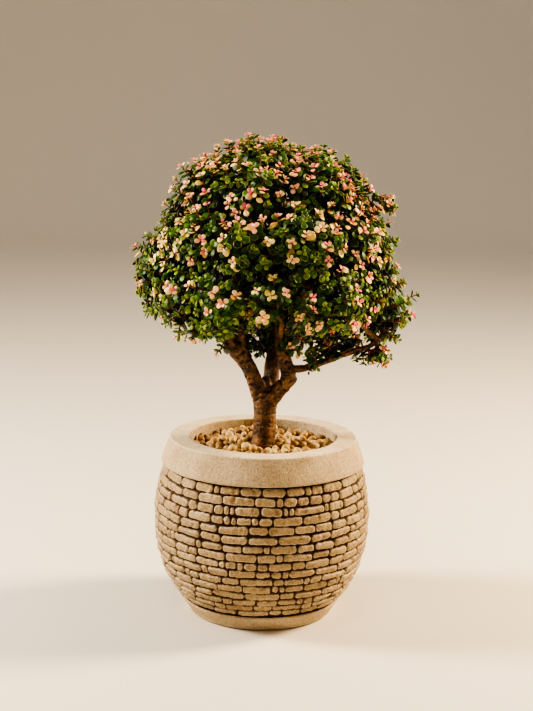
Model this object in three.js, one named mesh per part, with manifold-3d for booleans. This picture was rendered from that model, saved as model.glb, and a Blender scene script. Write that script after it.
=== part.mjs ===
// Potted dwarf jade: a small-leaved jade trained as a little tree, in a cast-stone pot.
// Millimetres, +Z up. The origin is the centre of the pot's flat underside and the front is -Y.
// The woody stems grow out of the potting soil through a top dressing of pebbles, and each leaf
// spray is one rounded mass of leafy twigs, seated on the end of its own branchlet.
import * as THREE from "three";
import { mergeVertices } from "three/addons/utils/BufferGeometryUtils.js";
import Module from "manifold-3d";

// ---- Driving dimensions: the pot ----
const potHeight = 180;
const bellyDiameter = 216;
const bellyHeight = 98; // height of the widest place
const rimDiameter = 187; // outside, at the flat top
const rimBandHeight = 27;
const rimBandLowerDiameter = 203;
const rimRounding = 4;
const openingDiameter = 146;
const neckDiameter = 197; // the stonework where it meets the rim band
const footBandHeight = 17;
const footBandDiameter = 160; // at the ledge under the stonework
const baseDiameter = 146;
const baseRounding = 5;
const stoneworkFootDiameter = 164; // the lowest course
const footTuck = 0.84; // how far the lower belly curves in, 1 being a quarter of an ellipse
const courseCount = 16;
const courseRecess = 2.2; // depth of the joint between two courses
const wallThickness = 14;
const floorThickness = 16;
const potSegments = 32;

// ---- Driving dimensions: what fills the pot ----
const clearance = 0.3; // between touching pieces
const pebbleTopBelowRim = 9;
const pebbleLayerDepth = 12;
const pebbleSize = 12; // spacing of the bumps of the top dressing
const pebbleRelief = 2.2;

// ---- Driving dimensions: the wood ----
const trunkDiameter = 22;
const trunkLength = 51; // from the pebbles to where the trunk divides
const rootDepth = 62; // of the root crown below the pebbles
const rootCount = 5;
const rootSpread = 46;
const limbDiameter = 13.5;
const lowBranchDiameter = 6.5;
const branchletDiameter = 5;
const stubLength = 9;

// ---- Driving dimensions: the crown of leaves ----
const crownWidth = 262;
const crownRise = 123; // of its widest place above the fork
const crownHeightAbove = 138; // its widest place to its top
const crownHeightBelow = 83; // its widest place to its underside
const crownOffset = 2; // of its centre to the right of the trunk
const sprayOverlap = 0.871; // a spray's radius over its distance to the next one in the middle ring
const sprayGap = 0.3; // between neighbouring sprays

// ---- Materials ----
const finish = (color, roughness) => new THREE.MeshStandardMaterial({ color, roughness, metalness: 0 });
const castStone = () => finish(0xc9b496, 0.85);
const soilMix = () => finish(0x3a2a1c, 0.95);
const riverPebble = () => finish(0xb08f5c, 0.6);
const bark = () => finish(0x7a5230, 0.8);
const foliage = () => finish(0x4d6a2c, 0.45);

// ---- Solids: joining and cutting ----
const wasm = await Module();
wasm.setup();

// Welds a geometry into one closed mesh, without the flat triangles that a pole leaves behind.
function weld(geometry) {
  geometry.deleteAttribute("normal");
  geometry.deleteAttribute("uv");
  const welded = mergeVertices(geometry, 1e-3);
  const old = welded.index.array;
  const kept = [];
  for (let i = 0; i < old.length; i += 3) {
    const [a, b, c] = [old[i], old[i + 1], old[i + 2]];
    if (a !== b && b !== c && c !== a) kept.push(a, b, c);
  }
  welded.setIndex(kept);
  return welded;
}

function solidOf(geometry) {
  const welded = weld(geometry);
  const vertProperties = new Float32Array(welded.attributes.position.array);
  const triVerts = new Uint32Array(welded.index.array);
  return new wasm.Manifold(new wasm.Mesh({ numProp: 3, vertProperties, triVerts }));
}

function geometryOf(solid) {
  const mesh = solid.getMesh();
  const geometry = new THREE.BufferGeometry();
  geometry.setAttribute("position", new THREE.BufferAttribute(new Float32Array(mesh.vertProperties), 3));
  geometry.setIndex(new THREE.BufferAttribute(new Uint32Array(mesh.triVerts), 1));
  return geometry;
}

const joined = (solids) => solids.reduce((sum, solid) => sum.add(solid));
const cutBy = (solid, tools) => tools.reduce((rest, tool) => rest.subtract(tool), solid);

const plant = new THREE.Group();
function addPiece(name, solid, material) {
  const mesh = new THREE.Mesh(geometryOf(solid), material);
  mesh.name = name;
  plant.add(mesh);
}

// ---- The pot ----
// A quarter round between two straight runs, from one angle to another (degrees).
function arcPoints(centreR, centreZ, radius, from, to, steps) {
  const points = [];
  for (let i = 0; i <= steps; i += 1) {
    const angle = THREE.MathUtils.degToRad(from + ((to - from) * i) / steps);
    points.push(new THREE.Vector2(centreR + radius * Math.cos(angle), centreZ + radius * Math.sin(angle)));
  }
  return points;
}

const stoneworkTop = potHeight - rimBandHeight;
const stoneworkFoot = footBandHeight + 1.5;

// Outside radius of the stonework at a height: a parabola above the belly, part of an ellipse below it.
function stoneworkRadius(z) {
  const belly = bellyDiameter / 2;
  if (z >= bellyHeight) {
    const rise = (z - bellyHeight) / (stoneworkTop - bellyHeight);
    return belly - (belly - neckDiameter / 2) * rise * rise;
  }
  const fall = (bellyHeight - z) / (bellyHeight - stoneworkFoot);
  const curve = 1 - Math.sqrt(1 - (footTuck * fall) ** 2);
  const whole = 1 - Math.sqrt(1 - footTuck ** 2);
  return belly - ((belly - stoneworkFootDiameter / 2) * curve) / whole;
}

// The inside runs straight down the rim band and then keeps an even wall behind the stonework.
const insideSteps = 8;
function insideStation(step) {
  const z = THREE.MathUtils.lerp(floorThickness, stoneworkTop, step / insideSteps);
  const throat = openingDiameter / 2;
  const behind = stoneworkRadius(Math.max(z, stoneworkFoot)) - wallThickness;
  const below = THREE.MathUtils.clamp((stoneworkTop - z) / wallThickness, 0, 1);
  return new THREE.Vector2(throat + Math.max(behind - throat, 0) * below, z);
}
const insideStations = Array.from({ length: insideSteps + 1 }, (_, step) => insideStation(step));

// Inside radius at a height, on the straight runs between those stations.
function insideRadius(z) {
  const height = stoneworkTop - floorThickness;
  const place = THREE.MathUtils.clamp(((z - floorThickness) / height) * insideSteps, 0, insideSteps);
  const low = Math.min(Math.floor(place), insideSteps - 1);
  return THREE.MathUtils.lerp(insideStations[low].x, insideStations[low + 1].x, place - low);
}

// The inside's outline between two heights, drawn in by inset.
function insidePoints(bottom, top, inset) {
  const between = insideStations.filter((station) => station.y > bottom + 0.5 && station.y < top - 0.5);
  const heights = [bottom, ...between.map((station) => station.y), top];
  return heights.map((z) => new THREE.Vector2(insideRadius(z) - inset, z));
}

function turned(points, segments) {
  const geometry = new THREE.LatheGeometry(points, segments);
  geometry.rotateX(Math.PI / 2);
  return geometry;
}

function makePot() {
  const points = [new THREE.Vector2(0, 0)];
  points.push(...arcPoints(baseDiameter / 2 - baseRounding, baseRounding, baseRounding, -90, -12, 3));
  points.push(new THREE.Vector2(footBandDiameter / 2, footBandHeight - 1.5));
  points.push(new THREE.Vector2(footBandDiameter / 2 - 1.2, footBandHeight));
  const pitch = (stoneworkTop - stoneworkFoot) / courseCount;
  for (let course = 0; course < courseCount; course += 1) {
    const low = stoneworkFoot + pitch * course;
    points.push(new THREE.Vector2(stoneworkRadius(low) - courseRecess, low));
    points.push(new THREE.Vector2(stoneworkRadius(low + pitch / 2), low + pitch / 2));
  }
  points.push(new THREE.Vector2(stoneworkRadius(stoneworkTop) - courseRecess, stoneworkTop));
  const lip = rimBandLowerDiameter / 2;
  points.push(new THREE.Vector2(lip - 2, stoneworkTop));
  points.push(new THREE.Vector2(lip, stoneworkTop + 2));
  const round = Math.min(rimRounding, (rimDiameter - openingDiameter) / 4 - clearance);
  points.push(...arcPoints(rimDiameter / 2 - round, potHeight - round, round, 0, 90, 3));
  points.push(...arcPoints(openingDiameter / 2 + round, potHeight - round, round, 90, 180, 3));
  points.push(...insidePoints(floorThickness, stoneworkTop, 0).reverse());
  points.push(new THREE.Vector2(0, floorThickness));
  return solidOf(turned(points, potSegments));
}

const pebbleTop = potHeight - pebbleTopBelowRim;
const pebbleBase = pebbleTop - pebbleLayerDepth;

function makeSoil() {
  const top = pebbleBase - clearance;
  const bottom = floorThickness + clearance;
  const points = [new THREE.Vector2(0, bottom)];
  points.push(...insidePoints(bottom, top, clearance));
  points.push(new THREE.Vector2(0, top));
  return solidOf(turned(points, potSegments));
}

// The top dressing is one layer with a rounded bump for every pebble of a staggered packing.
function makePebbleBed() {
  const outer = openingDiameter / 2 - clearance;
  const ringCount = Math.round(outer / (pebbleSize / 2));
  const points = [new THREE.Vector2(0, pebbleBase), new THREE.Vector2(outer, pebbleBase)];
  for (let ring = ringCount; ring >= 0; ring -= 1) {
    points.push(new THREE.Vector2((outer * ring) / ringCount, pebbleTop));
  }
  const geometry = turned(points, potSegments);
  const place = geometry.attributes.position;
  for (let i = 0; i < place.count; i += 1) {
    const [x, y, z] = [place.getX(i), place.getY(i), place.getZ(i)];
    const edge = THREE.MathUtils.clamp((outer - Math.hypot(x, y)) / pebbleSize, 0, 1);
    const bump = Math.cos((Math.PI * x) / pebbleSize) * Math.cos((Math.PI * y) / (pebbleSize * 0.87));
    if (z > pebbleTop - 1e-3) place.setZ(i, z - pebbleRelief * edge * (0.5 - 0.5 * bump));
  }
  return solidOf(geometry);
}

// ---- The wood ----
const fork = pebbleTop + trunkLength;

// A tapered round stem along a curve: a capped cylinder whose rings are carried along the curve.
// grow makes the same stem fatter and longer by that much, which is the tool that cuts its seat.
function stem(points, radii, sides, steps, grow = 0) {
  const curve = new THREE.CatmullRomCurve3(points.map((p) => new THREE.Vector3(...p)));
  const frames = curve.computeFrenetFrames(steps, false);
  const geometry = new THREE.CylinderGeometry(1, 1, 1, sides, steps);
  const place = geometry.attributes.position;
  for (let i = 0; i < place.count; i += 1) {
    const t = place.getY(i) + 0.5;
    const step = Math.round(t * steps);
    const at = curve.getPointAt(step / steps);
    const span = (step / steps) * (radii.length - 1);
    const low = Math.min(Math.floor(span), radii.length - 2);
    const radius = THREE.MathUtils.lerp(radii[low], radii[low + 1], span - low) + grow;
    at.addScaledVector(frames.normals[step], radius * place.getX(i));
    at.addScaledVector(frames.binormals[step], -radius * place.getZ(i));
    if (step === 0) at.addScaledVector(frames.tangents[0], -grow);
    if (step === steps) at.addScaledVector(frames.tangents[steps], grow);
    place.setXYZ(i, at.x, at.y, at.z);
  }
  return solidOf(geometry);
}

// Each stem is a list of branches; a branch is its points, its radii, its sides and its steps.
function stemSolid(branches, grow = 0) {
  return joined(branches.map((b) => stem(b.points, b.radii, b.sides, b.steps, grow)));
}

const trunkRadius = trunkDiameter / 2;
const rootTop = pebbleBase - 4;
const rootEnd = pebbleTop - rootDepth;
const trunkBranches = [
  {
    points: [[0, 0, rootEnd + 12], [0, 0, rootTop], [1, 0, (pebbleTop + fork) / 2], [1, 0, fork + 3]],
    radii: [0.9, 1.35, 1.3, 1, 0.98, 1.12].map((share) => share * trunkRadius),
    sides: 12,
    steps: 10,
  },
];
for (let root = 0; root < rootCount; root += 1) {
  const turn = ((root + 0.2 * Math.sin(root * 5)) / rootCount) * 2 * Math.PI;
  const [cos, sin] = [Math.cos(turn), Math.sin(turn)];
  trunkBranches.push({
    points: [
      [3 * cos, 3 * sin, rootTop - 8],
      [rootSpread * 0.5 * cos, rootSpread * 0.5 * sin, rootTop - 18],
      [rootSpread * cos, rootSpread * sin, rootEnd],
    ],
    radii: [7, 5, 2.5],
    sides: 5,
    steps: 3,
  });
}

// Each limb carries the sprays whose turn about the crown lies between its two angles (degrees).
const limbRadius = limbDiameter / 2;
const limbs = {
  back_limb: {
    points: [
      [4, 3, fork - 5],
      [8, 12, fork + 24],
      [9, 22, fork + 56],
      [6, 32, fork + 96],
      [4, 34, fork + 150],
    ],
    radii: [1, 0.92, 0.8, 0.62, 0.42],
    from: 35,
    to: 150,
  },
  right_limb: {
    points: [
      [6, -2, fork - 7],
      [19, -6, fork + 6],
      [25, -7, fork + 18],
      [20, -6, fork + 42],
      [16, -4, fork + 84],
      [20, -4, fork + 130],
      [10, -2, fork + 176],
    ],
    radii: [1, 1.02, 0.95, 0.85, 0.72, 0.55, 0.36],
    from: -82,
    to: 35,
  },
  left_limb: {
    points: [
      [-3, -1, fork - 6],
      [-14, -5, fork + 14],
      [-24, -9, fork + 35],
      [-32, -12, fork + 70],
      [-36, -12, fork + 130],
    ],
    radii: [1, 0.95, 0.86, 0.62, 0.4],
    from: 150,
    to: 278,
  },
};
const limbBranches = {};
for (const [name, limb] of Object.entries(limbs)) {
  const radii = limb.radii.map((share) => share * limbRadius);
  limbBranches[name] = [{ points: limb.points, radii, sides: 8, steps: 12 }];
}
const stubBase = [24, -7, fork + 15];
limbBranches.right_limb.push({
  points: [stubBase, [stubBase[0] + 5, -8, fork + 18], [stubBase[0] + stubLength, -9, fork + 22]],
  radii: [limbRadius * 0.8, limbRadius * 0.72, limbRadius * 0.6],
  sides: 8,
  steps: 2,
});
const lowRadius = lowBranchDiameter / 2;
const lowBranch = [
  {
    points: [
      [22, -7, fork + 27],
      [42, -10, fork + 30],
      [70, -13, fork + 41],
      [88, -14, fork + 48],
      [104, -14, fork + 54],
      [118, -12, fork + 68],
      [128, -10, fork + 82],
    ],
    radii: [1.1, 1, 0.9, 0.8, 0.7, 0.55].map((share) => share * lowRadius),
    sides: 7,
    steps: 12,
  },
];

// ---- The crown ----
const crownSide = crownWidth / 2;
const middleRing = { latitude: 20, count: 10 };
const crownMiddle = fork + crownRise;
// Rings of sprays, from the top down: latitude on the crown, size of a spray, and the turns about
// the crown's axis. The lowest ring leaves the front open, where the limbs show, and rises there.
const evenTurns = (count, first) => Array.from({ length: count }, (_, i) => first + (360 * i) / count);
const crownRings = [
  { name: "top", latitude: 90, size: 1, turns: [0] },
  { name: "upper", latitude: 52, size: 1, turns: evenTurns(6, 20) },
  { name: "middle", latitude: middleRing.latitude, size: 1, turns: evenTurns(middleRing.count, 4) },
  { name: "lower", latitude: -12, size: 1, turns: evenTurns(11, 16) },
  { name: "under", latitude: -48, size: 0.78, turns: [2, 58, 118, 178, 230, 309] },
];
const frontRise = 12;
// Sprays are as large as closes the middle ring, whose own circle is drawn in by their radius.
const ringDraw = Math.cos(THREE.MathUtils.degToRad(middleRing.latitude));
const sprayShare = 2 * sprayOverlap * ringDraw * Math.sin(Math.PI / middleRing.count);
const sprayRadius = (crownSide * sprayShare) / (1 + sprayShare);
const sprays = [];
for (const ring of crownRings) {
  for (const [i, turn] of ring.turns.entries()) {
    const radius = sprayRadius * ring.size * (1 + 0.07 * Math.sin(i * 2.4 + ring.latitude));
    const latitude = THREE.MathUtils.degToRad(ring.latitude + 4 * Math.sin(i * 1.9 + ring.turns.length));
    const across = (crownSide - radius) * Math.cos(latitude);
    const reach = latitude > 0 ? crownHeightAbove : crownHeightBelow;
    const angle = THREE.MathUtils.degToRad(turn);
    const rise = ring.name === "under" ? frontRise * Math.max(0, -Math.sin(angle)) : 0;
    sprays.push({
      name: ring.turns.length === 1 ? "leaf_spray_top" : `leaf_spray_${ring.name}_${i + 1}`,
      centre: new THREE.Vector3(
        crownOffset + across * Math.cos(angle),
        across * Math.sin(angle),
        crownMiddle + (reach - radius) * Math.sin(latitude) + rise,
      ),
      radius,
      turn: ring.turns.length === 1 ? 0 : turn,
    });
  }
}
// The crown's right shoulder reaches further than the rest, one tall twig stands clear of it, and
// the low branch carries a spray of its own.
const shoulder = new THREE.Vector3(crownOffset + crownSide - 23, -8, crownMiddle - 33);
const tallTwig = new THREE.Vector3(crownOffset + crownSide - 16, 2, crownMiddle + 69);
sprays.push({ name: "leaf_spray_right_shoulder", centre: shoulder, radius: 37, turn: -4 });
sprays.push({ name: "leaf_spray_right_twig", centre: tallTwig, radius: 15, turn: 1 });
const lowBranchSeat = new THREE.Vector3(...lowBranch[0].points[4]);
const lowCentre = lowBranchSeat.add(new THREE.Vector3(8, 1, -10));
const lowSpray = { name: "leaf_spray_low_branch", centre: lowCentre, radius: 18 };

// A branchlet leaves its limb below its spray, bends up and ends in the middle of the spray. Its
// bow is how far across and how far up it has come at the bend.
const branchletBow = { across: 0.545, up: 0.444 };
const turnWithin = (turn, from, to) => THREE.MathUtils.euclideanModulo(turn - from, 360) < to - from;
for (const spray of sprays) {
  const serves = (key) => turnWithin(spray.turn, limbs[key].from, limbs[key].to);
  const name = Object.keys(limbs).find(serves);
  const limbCurve = new THREE.CatmullRomCurve3(limbs[name].points.map((p) => new THREE.Vector3(...p)));
  const stations = limbCurve.getSpacedPoints(40).slice(12);
  const end = spray.centre;
  const miss = (p) => Math.abs(p.z + 14 + 0.5 * Math.hypot(end.x - p.x, end.y - p.y) - end.z);
  const start = stations.reduce((best, p) => (miss(p) < miss(best) ? p : best));
  const thick = branchletDiameter / 2;
  const middle = start.clone().lerp(end, branchletBow.across);
  middle.z = THREE.MathUtils.lerp(start.z, end.z, branchletBow.up);
  limbBranches[name].push({
    points: [start.toArray(), middle.toArray(), end.toArray()],
    radii: [thick, thick * 0.82, thick * 0.6],
    sides: 5,
    steps: 3,
  });
}

// ---- Fitting the pieces to each other ----
const trunkTool = stemSolid(trunkBranches, clearance);
const backTool = stemSolid(limbBranches.back_limb, clearance);
const rightTool = stemSolid(limbBranches.right_limb, clearance);
const leftTool = stemSolid(limbBranches.left_limb, clearance);
const lowTool = stemSolid(lowBranch, clearance);

addPiece("pot", makePot(), castStone());
addPiece("potting_soil", cutBy(makeSoil(), [trunkTool]), soilMix());
addPiece("pebble_top_dressing", cutBy(makePebbleBed(), [trunkTool]), riverPebble());
addPiece("trunk", stemSolid(trunkBranches), bark());
addPiece("right_limb", cutBy(stemSolid(limbBranches.right_limb), [trunkTool]), bark());
addPiece("back_limb", cutBy(stemSolid(limbBranches.back_limb), [trunkTool, rightTool]), bark());
addPiece("left_limb", cutBy(stemSolid(limbBranches.left_limb), [trunkTool, rightTool, backTool]), bark());
addPiece("low_branch", cutBy(stemSolid(lowBranch), [rightTool]), bark());

// Two touching sprays are parted by the plane through the circle where their rounds meet.
const ball = (spray) => {
  const geometry = new THREE.IcosahedronGeometry(spray.radius, 1);
  geometry.translate(...spray.centre.toArray());
  return solidOf(geometry);
};
const blockSize = 4 * sprayRadius;
function partingBlock(spray, other) {
  const apart = other.centre.clone().sub(spray.centre);
  const distance = apart.length();
  if (distance >= spray.radius + other.radius) return null;
  const face = (distance ** 2 + spray.radius ** 2 - other.radius ** 2) / (2 * distance) - sprayGap / 2;
  const direction = apart.normalize();
  const block = new THREE.BoxGeometry(blockSize, blockSize, blockSize);
  block.applyQuaternion(new THREE.Quaternion().setFromUnitVectors(new THREE.Vector3(0, 0, 1), direction));
  const middle = spray.centre.clone().addScaledVector(direction, face + blockSize / 2);
  block.translate(...middle.toArray());
  return solidOf(block);
}
const allSprays = [...sprays, lowSpray];
for (const spray of allSprays) {
  const blocks = allSprays.filter((other) => other !== spray).map((other) => partingBlock(spray, other));
  const mass = cutBy(ball(spray), blocks.filter((block) => block !== null));
  addPiece(spray.name, cutBy(mass, [rightTool, backTool, leftTool, lowTool]), foliage());
}

export default plant;
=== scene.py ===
"""A potted dwarf jade, trained as a little tree, in a cast-stone pot: its looks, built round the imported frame.

Everything is in metres in the frame's own coordinates: +Z up, -Y to the front, the origin in the middle of
the pot's underside. Lengths are written in millimetres and turned to metres by MM.
"""
import math

import bpy
import numpy as np
from mathutils import Matrix, Vector


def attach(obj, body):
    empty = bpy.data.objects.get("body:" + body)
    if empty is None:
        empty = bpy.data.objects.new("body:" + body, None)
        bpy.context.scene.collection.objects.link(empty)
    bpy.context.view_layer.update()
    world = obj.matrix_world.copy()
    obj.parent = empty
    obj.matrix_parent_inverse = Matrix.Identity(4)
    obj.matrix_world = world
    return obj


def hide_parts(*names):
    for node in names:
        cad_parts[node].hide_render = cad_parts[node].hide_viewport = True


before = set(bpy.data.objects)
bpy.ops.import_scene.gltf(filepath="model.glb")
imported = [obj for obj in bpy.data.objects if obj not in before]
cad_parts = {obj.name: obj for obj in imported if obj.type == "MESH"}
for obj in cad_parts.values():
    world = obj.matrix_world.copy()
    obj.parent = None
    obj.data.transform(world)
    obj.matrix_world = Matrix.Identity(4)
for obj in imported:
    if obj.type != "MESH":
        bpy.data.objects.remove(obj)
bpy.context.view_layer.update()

MM = 0.001
SEED = 7

# ---- The pot, in millimetres, as the frame's pot was drawn ----
POT_HEIGHT = 180
BELLY_RADIUS = 108
BELLY_HEIGHT = 98
RIM_RADIUS = 93.5
RIM_BAND_HEIGHT = 27
RIM_BAND_LOWER_RADIUS = 101.5
RIM_ROUNDING = 1.8
MOUTH_ROUNDING = 1.4
OPENING_RADIUS = 73
NECK_RADIUS = 98.5
FOOT_BAND_HEIGHT = 17
FOOT_BAND_RADIUS = 80
BASE_RADIUS = 73
BASE_ROUNDING = 5
FOOT_ROUNDING = 2.2
BAND_ROUNDING = 2.6
STONEWORK_FOOT_RADIUS = 82
FOOT_TUCK = 0.84
WALL = 14
FLOOR = 16
COURSES = 16
PEBBLE_TOP = 171
PEBBLE_BASE = 159.3
FORK = 222


# ---------------------------------------------------------------- materials
def linear(hex_colour):
    """An sRGB hex colour as linear RGBA."""
    parts = [int(hex_colour[i:i + 2], 16) / 255 for i in (1, 3, 5)]
    return (*[c / 12.92 if c <= 0.04045 else ((c + 0.055) / 1.055) ** 2.4 for c in parts], 1)


def feed(tree, node, inputs):
    """Sets a node's sockets, by name or number: each to the output that feeds it, a value or a hex colour."""
    for key, value in inputs.items():
        if isinstance(value, bpy.types.NodeSocket):
            tree.links.new(value, node.inputs[key])
        else:
            node.inputs[key].default_value = linear(value) if isinstance(value, str) else value


def add(tree, kind, inputs=(), out=0, stops=(), **settings):
    """Adds a node with its settings, inputs and, on a ramp, (place, hex colour) stops; returns one output."""
    node = tree.nodes.new("ShaderNode" + kind)
    for key, value in settings.items():
        setattr(node, key, value)
    feed(tree, node, dict(inputs))
    if stops:
        elements = node.color_ramp.elements
        while len(elements) < len(stops):
            elements.new(1)
        for element, (place, colour) in zip(elements, stops):
            element.position = place
            element.color = linear(colour)
    return node.outputs[out]


COLOUR_MIX = {"out": 2, "data_type": "RGBA"}


def tinted(tree, colour, *layers):
    """A colour with others laid over it.

    Each layer is a factor, the factor's values where it starts and where it is full, its share when full,
    and its colour.
    """
    for factor, start, full, share, over in layers:
        cover = add(tree, "MapRange", {0: factor, 1: start, 2: full, 4: share})
        colour = add(tree, "Mix", {0: cover, 6: colour, 7: over}, **COLOUR_MIX)
    return colour


def new_material(name, attributes, *noises):
    """An empty material, its tree, and outputs: object coordinates, then attributes, then noises.

    Each noise is the size of its lumps in millimetres, its detail and its roughness.
    """
    material = bpy.data.materials.new(name)
    material.use_nodes = True
    tree = material.node_tree
    outputs = [add(tree, "TexCoord", out="Object")]
    for attribute in attributes:
        outputs.append(add(tree, "Attribute", out="Fac", attribute_name=attribute))
    for size, detail, roughness in noises:
        outputs.append(add(tree, "TexNoise", {"Vector": outputs[0], "Scale": 1 / (size * MM),
                                              "Detail": detail, "Roughness": roughness}))
    return material, tree, *outputs


def finish(tree, inputs):
    """Sets the shader's own sockets."""
    feed(tree, tree.nodes["Principled BSDF"], inputs)


def cast_stone():
    """Cast stone, sand-blasted: cream cement and sand, dull, with grains and blown holes.

    The attribute relief is 0 in the joints between the stones and 1 on their faces. Down the stones' sides
    into the joints the colour darkens: partly dirt that stays in the joints, partly painted shade in the
    recesses. Just short of 1 are the stones' rounded edges, the palest part. tone makes each stone a little
    lighter or darker, and dirt stays on the darker ones.
    """
    material, tree, place, relief, tone, lumps, grains, blotches, swell = new_material(
        "cast_stone_sand_blasted", ("relief", "tone"),
        (26, 4, 0.55), (1.7, 2, 0.7), (4.5, 4, 0.65), (7, 3, 0.55))
    body = add(tree, "ValToRGB", {0: lumps}, stops=((0.3, "#BDAC92"), (0.52, "#CEBEA4"), (0.75, "#DCD0B9")))
    body = tinted(tree, body, (tone, 0, 1, 0.6, "#988468"), (grains, 0.54, 0.68, 0.55, "#7C6850"),
                  (grains, 0.46, 0.34, 0.5, "#F1E3C8"))
    stain = add(tree, "MapRange", {0: blotches, 1: 0.5, 2: 0.68, 4: 0.55})
    darker = add(tree, "MapRange", {0: tone, 1: 0.1, 2: 0.3})
    dirty = add(tree, "Math", {0: stain, 1: darker}, operation="MULTIPLY")
    body = add(tree, "Mix", {0: dirty, 6: body, 7: "#84705A"}, **COLOUR_MIX)
    # painted shade: the ramp darkens the stones' sides and the joints as shade in the recesses, over dirt there
    joint_dirt_and_shade = add(tree, "ValToRGB", {0: relief},
                 stops=((0.0, "#58462F"), (0.45, "#A39178"), (0.86, "#FFFFFF"), (1.0, "#DDD0BA")))
    body = add(tree, "Mix", {0: 1.0, 6: body, 7: joint_dirt_and_shade}, blend_type="MULTIPLY", **COLOUR_MIX)
    cells = add(tree, "TexVoronoi", {"Vector": place, "Scale": 1 / (4.2 * MM)}, "Distance")
    hole = add(tree, "MapRange", {0: cells, 1: 0.07, 2: 0.16})
    body = add(tree, "Mix", {0: hole, 6: "#A88660", 7: body}, **COLOUR_MIX)
    normal = {}
    for height, depth, strength in ((grains, 0.8, 1.0), (hole, 0.5, 0.6), (swell, 0.8, 0.5)):
        normal = {"Normal": add(tree, "Bump", {"Height": height, "Distance": depth * MM, "Strength": strength,
                                               **normal})}
    finish(tree, {"Base Color": body, "Roughness": 0.85, "Specular IOR Level": 0.3, **normal})
    return material


def river_pebble():
    """Tumbled river pebbles: smooth, half dull, from beige to golden brown, some with a darker vein."""
    material, tree, _, tone, clouds, specks = new_material(
        "river_pebble_tumbled", ("tone",), (4, 3, 0.55), (0.9, 2, 0.55))
    body = add(tree, "ValToRGB", {0: tone},
               stops=((0.0, "#785A34"), (0.3, "#9A7745"), (0.65, "#B6925A"), (1.0, "#D2B884")))
    body = tinted(tree, body, (clouds, 0.5, 0.72, 0.35, "#7C5D36"), (specks, 0.6, 0.7, 0.2, "#5A3B1E"))
    bump = add(tree, "Bump", {"Height": specks, "Distance": 0.15 * MM, "Strength": 0.5})
    finish(tree, {"Base Color": body, "Roughness": 0.55, "Normal": bump})
    return material


def potting_mix():
    """Potting mix of fine bark and fibre: almost black-brown, dull and crumbly."""
    material, tree, _, crumbs = new_material("potting_mix_bark", (), (3, 4, 0.7))
    body = add(tree, "ValToRGB", {0: crumbs}, stops=((0.3, "#1D130B"), (0.55, "#3B2819"), (0.8, "#5E452E")))
    bump = add(tree, "Bump", {"Height": crumbs, "Distance": 1.5 * MM, "Strength": 0.8})
    finish(tree, {"Base Color": body, "Roughness": 0.95, "Normal": bump})
    return material


def jade_bark():
    """Old jade bark: thin, orange-brown, wrinkled in rings, with a painted highlight on its ridges and painted
    shade in its creases.

    One attribute is 1 at the bottom of a wrinkle, where shade is painted darkest, and the other is 1 on the
    swelling beside it, where a highlight is painted.
    """
    material, tree, _, crease_shade, ridge_highlight, patches, fine = new_material(
        "jade_bark_weathered", ("crease_shade", "ridge_highlight"), (11, 4, 0.6), (1.8, 3, 0.65))
    body = add(tree, "ValToRGB", {0: patches},
               stops=((0.3, "#2D1D11"), (0.46, "#51361F"), (0.6, "#7A5430"), (0.78, "#A88154")))
    # fine flecks of grain, then a painted highlight on the ridges
    body = tinted(tree, body, (fine, 0.55, 0.72, 0.5, "#332013"), (fine, 0.43, 0.3, 0.5, "#C9A479"),
                  (ridge_highlight, 0.3, 1, 0.5, "#A67C50"))
    # painted shade, darkest at the bottom of a wrinkle
    body = add(tree, "Mix", {0: crease_shade, 6: body, 7: "#180C05"}, **COLOUR_MIX)
    bump = add(tree, "Bump", {"Height": fine, "Distance": 0.7 * MM, "Strength": 0.8})
    finish(tree, {"Base Color": body, "Roughness": 0.58, "Normal": bump})
    return material


def young_stem():
    """Green wood of this year's twigs: smooth, red-brown, slightly waxy."""
    material, tree, _, streaks = new_material("jade_twig_red", (), (6, 2, 0.55))
    body = add(tree, "ValToRGB", {0: streaks}, stops=((0.35, "#5A2A1C"), (0.6, "#8C4A33"), (0.8, "#A6694A")))
    finish(tree, {"Base Color": body, "Roughness": 0.5})
    return material


def jade_leaf():
    """Jade leaf, alive: plump, waxy and glossy, green with a cream margin where it is variegated.

    Attributes: tone 0 old and darker green, and lower still on the shoots inside the crown, where shade is
    painted, to 1 young and yellow-green, cream and blush how far the leaf has turned cream and pink, margin 0
    along the middle to 1 at the rim, along 0 at the stalk to 1 at the tip.
    """
    material, tree, _, tone, cream, blush, margin, along, mottle = new_material(
        "jade_leaf_waxy", ("tone", "cream", "blush", "margin", "along"), (3, 2, 0.55))
    green = add(tree, "ValToRGB", {0: tone},
                stops=((0.0, "#12260A"), (0.35, "#214711"), (0.7, "#426E1B"), (1.0, "#8FA338")))
    green = tinted(tree, green, (mottle, 0.45, 0.7, 0.3, "#55791F"))
    pale = add(tree, "ValToRGB", {0: tone},
               stops=((0.0, "#EFB660"), (0.35, "#FAD67C"), (0.65, "#FFE998"), (1.0, "#FFF4C0")))
    pale = tinted(tree, pale, (along, 0.5, 0.0, 0.45, "#F07C70"))
    edge = add(tree, "MapRange", {0: margin, 1: 0.55, 2: 1.0})
    variegated = add(tree, "MapRange", {0: cream, 1: 0.1, 2: 0.5})
    rim = add(tree, "Math", {0: edge, 1: variegated}, operation="MULTIPLY")
    colour = add(tree, "Mix", {0: rim, 6: green, 7: "#E8DC80"}, **COLOUR_MIX)
    colour = tinted(tree, colour, (cream, 0.45, 0.8, 1, pale))
    pink = add(tree, "Mix", {0: margin, 6: "#FF86A0", 7: "#EA3A74"}, **COLOUR_MIX)
    colour = add(tree, "Mix", {0: blush, 6: colour, 7: pink}, **COLOUR_MIX)
    finish(tree, {"Base Color": colour, "Roughness": 0.43, "Specular IOR Level": 0.27,
                  "Subsurface Weight": 0.12, "Subsurface Radius": (1.2 * MM, 1.0 * MM, 0.4 * MM),
                  "Subsurface Scale": 1.0})
    return material


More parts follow.
